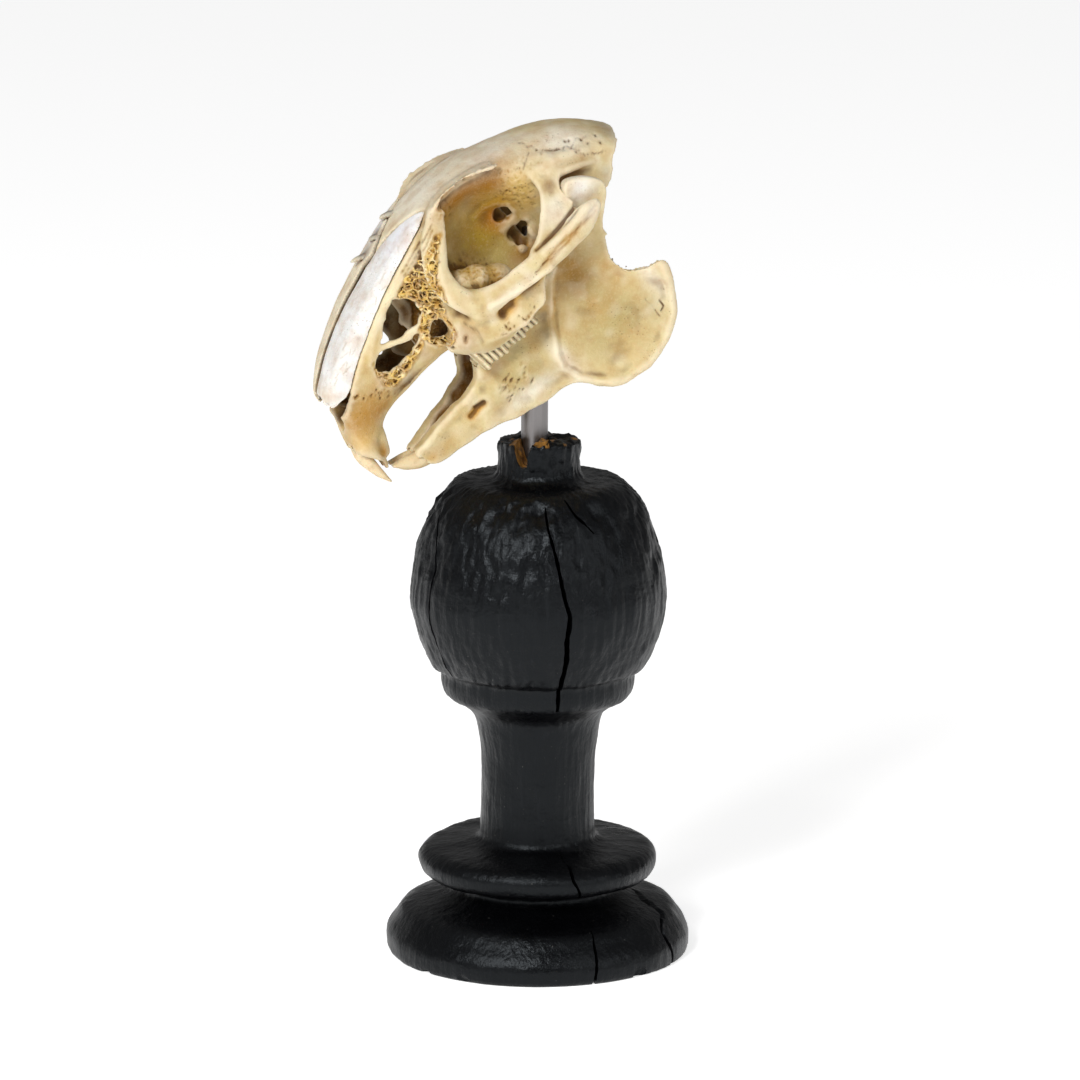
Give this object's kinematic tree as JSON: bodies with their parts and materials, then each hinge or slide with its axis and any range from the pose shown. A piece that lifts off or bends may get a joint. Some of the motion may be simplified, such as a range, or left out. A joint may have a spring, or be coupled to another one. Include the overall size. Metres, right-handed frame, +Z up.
{
  "type": "rabbit skull",
  "caption": "Large rabbit skull with lower jaw, nose down, open at the back, held by a steel rod in an old black turned wooden finial that stands on a flat foot.",
  "frame": {"origin": "centre of the flat underside of the wooden foot", "axes": "+Z up along the finial and the rod; -X towards the rabbit's nose; -Y towards its left side"},
  "size_m": [0.0854, 0.0684, 0.1875],
  "materials": {
    "bone": "dry aged bone, cream to ochre, satin",
    "pale_bone": "bleached bone, matt",
    "tooth": "tooth enamel and dentine, slightly glossy",
    "steel": "plain drawn bar",
    "black_wood": "satin black paint on old cracked wood"
  },
  "bodies": {
    "root": {"cranium": "bone", "nasal_bone_left": "pale_bone", "nasal_bone_right": "pale_bone", "upper_incisor_left": "tooth", "upper_incisor_right": "tooth", "peg_incisor_left": "tooth", "peg_incisor_right": "tooth", "upper_cheek_teeth_left": "tooth", "upper_cheek_teeth_right": "tooth", "mandible_left": "bone", "mandible_right": "bone", "lower_incisor_left": "tooth", "lower_incisor_right": "tooth", "lower_cheek_teeth_left": "tooth", "lower_cheek_teeth_right": "tooth", "steel_rod": "steel", "wooden_stand": "black_wood"}
  },
  "joints": []
}
